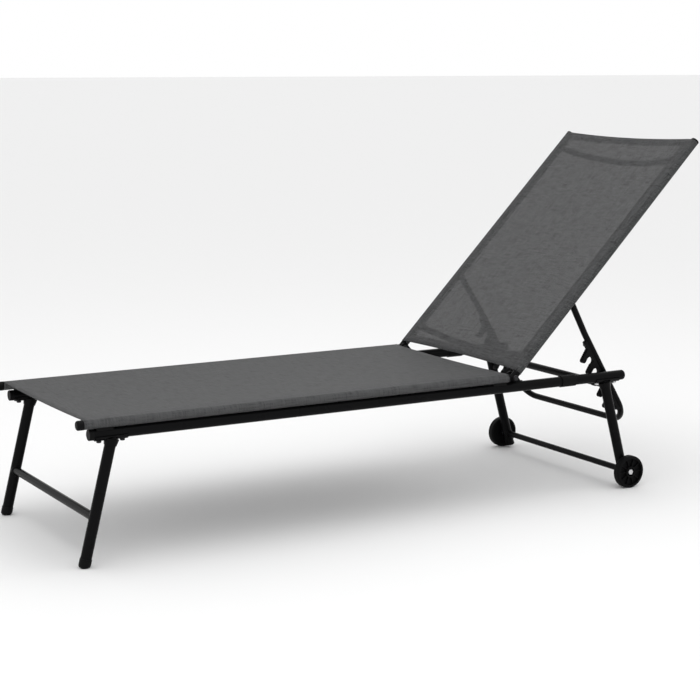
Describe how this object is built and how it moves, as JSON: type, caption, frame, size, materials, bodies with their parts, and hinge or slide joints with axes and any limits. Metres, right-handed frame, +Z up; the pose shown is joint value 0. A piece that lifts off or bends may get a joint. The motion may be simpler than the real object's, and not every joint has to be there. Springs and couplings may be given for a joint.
{
  "type": "reclining sun lounger",
  "caption": "Low garden sun lounger with a black tubular frame, two grey mesh slings, a reclining backrest on a toothed prop, and wheels at the head end.",
  "frame": {"origin": "middle of the lounger's bounding box in plan, on the ground", "axes": "+X from the foot end to the head end, +Y across to the lounger's left as seen from its foot end looking at the backrest, +Z up"},
  "size_m": [1.6863, 0.5792, 0.8804],
  "materials": {
    "frame_metal": "satin black powder coat",
    "black_plastic": "matt black",
    "mesh": "mid-grey woven mesh",
    "wheel_plastic": "matt black",
    "zinc_steel": "bright zinc plated",
    "black_bolt": "black oxide"
  },
  "bodies": {
    "frame": {"side_rail_left": "frame_metal", "side_rail_right": "frame_metal", "side_rail_foot_caps": "black_plastic", "side_rail_head_caps": "black_plastic", "seat_rail_left": "frame_metal", "seat_rail_right": "frame_metal", "seat_rail_foot_caps": "black_plastic", "seat_rail_head_caps": "black_plastic", "foot_rail_spacers": "black_plastic", "head_rail_spacers": "black_plastic", "rail_studs": "zinc_steel", "seat_sling": "mesh", "seat_spreader_front": "frame_metal", "seat_spreader_rear": "frame_metal", "seat_spreader_pins": "black_bolt", "front_leg_left": "frame_metal", "front_leg_right": "frame_metal", "rear_leg_left": "frame_metal", "rear_leg_right": "frame_metal", "front_saddles": "frame_metal", "rear_saddles": "frame_metal", "front_saddle_bolts": "black_bolt", "rear_saddle_bolts": "zinc_steel", "front_crossbar": "frame_metal", "rest_bar": "frame_metal", "axle_tube": "frame_metal", "front_feet": "black_plastic", "rear_leg_plugs": "black_plastic", "axle": "zinc_steel", "axle_nuts": "zinc_steel", "axle_washers": "zinc_steel", "hinge_brackets": "frame_metal", "hinge_bracket_screws": "zinc_steel", "hinge_washers": "black_plastic", "rest_pads": "black_plastic"},
    "hinge_pins": {"hinge_bolts": "black_bolt"},
    "backrest": {"back_rail_left": "frame_metal", "back_rail_right": "frame_metal", "back_hinge_plugs": "black_plastic", "back_rail_caps": "black_plastic", "back_sling": "mesh", "back_spreader_bottom": "frame_metal", "back_spreader_top": "frame_metal", "back_spreader_pins": "black_bolt"},
    "prop_pins": {"prop_pivot_bolts": "black_bolt"},
    "prop": {"prop_frame": "frame_metal", "prop_rack_left": "black_plastic", "prop_rack_right": "black_plastic", "prop_rack_screws": "black_bolt", "prop_end_plugs": "black_plastic"},
    "near_wheel": {"wheel_left": "wheel_plastic"},
    "far_wheel": {"wheel_right": "wheel_plastic"}
  },
  "joints": [
    {"name": "backrest_recline", "type": "hinge", "parent": "frame", "child": "hinge_pins", "pos_m": [0.28169, 0, 0.31405], "axis": [0, -1, 0], "range_deg": [-45.3, 0]},
    {"name": "backrest_lift", "type": "hinge", "parent": "hinge_pins", "child": "backrest", "pos_m": [0.28169, 0, 0.31405], "axis": [0, -1, 0], "range_deg": [0, 18]},
    {"name": "prop_fold", "type": "hinge", "parent": "backrest", "child": "prop_pins", "pos_m": [0.46064, 0, 0.49488], "axis": [0, -1, 0], "range_deg": [0, 90.6]},
    {"name": "prop_unhook", "type": "hinge", "parent": "prop_pins", "child": "prop", "pos_m": [0.46064, 0, 0.49488], "axis": [0, -1, 0], "range_deg": [0, 10.8]},
    {"name": "wheel_left_spin", "type": "hinge", "parent": "frame", "child": "near_wheel", "pos_m": [0.63099, -0.279, 0.0415], "axis": [0, 1, 0], "continuous": true},
    {"name": "wheel_right_spin", "type": "hinge", "parent": "frame", "child": "far_wheel", "pos_m": [0.63099, 0.279, 0.0415], "axis": [0, 1, 0], "continuous": true}
  ],
  "couplings": [
    {"joint": "prop_fold", "follows": "backrest_recline", "ratio": -2},
    {"joint": "prop_unhook", "follows": "backrest_lift", "ratio": 0.6}
  ]
}
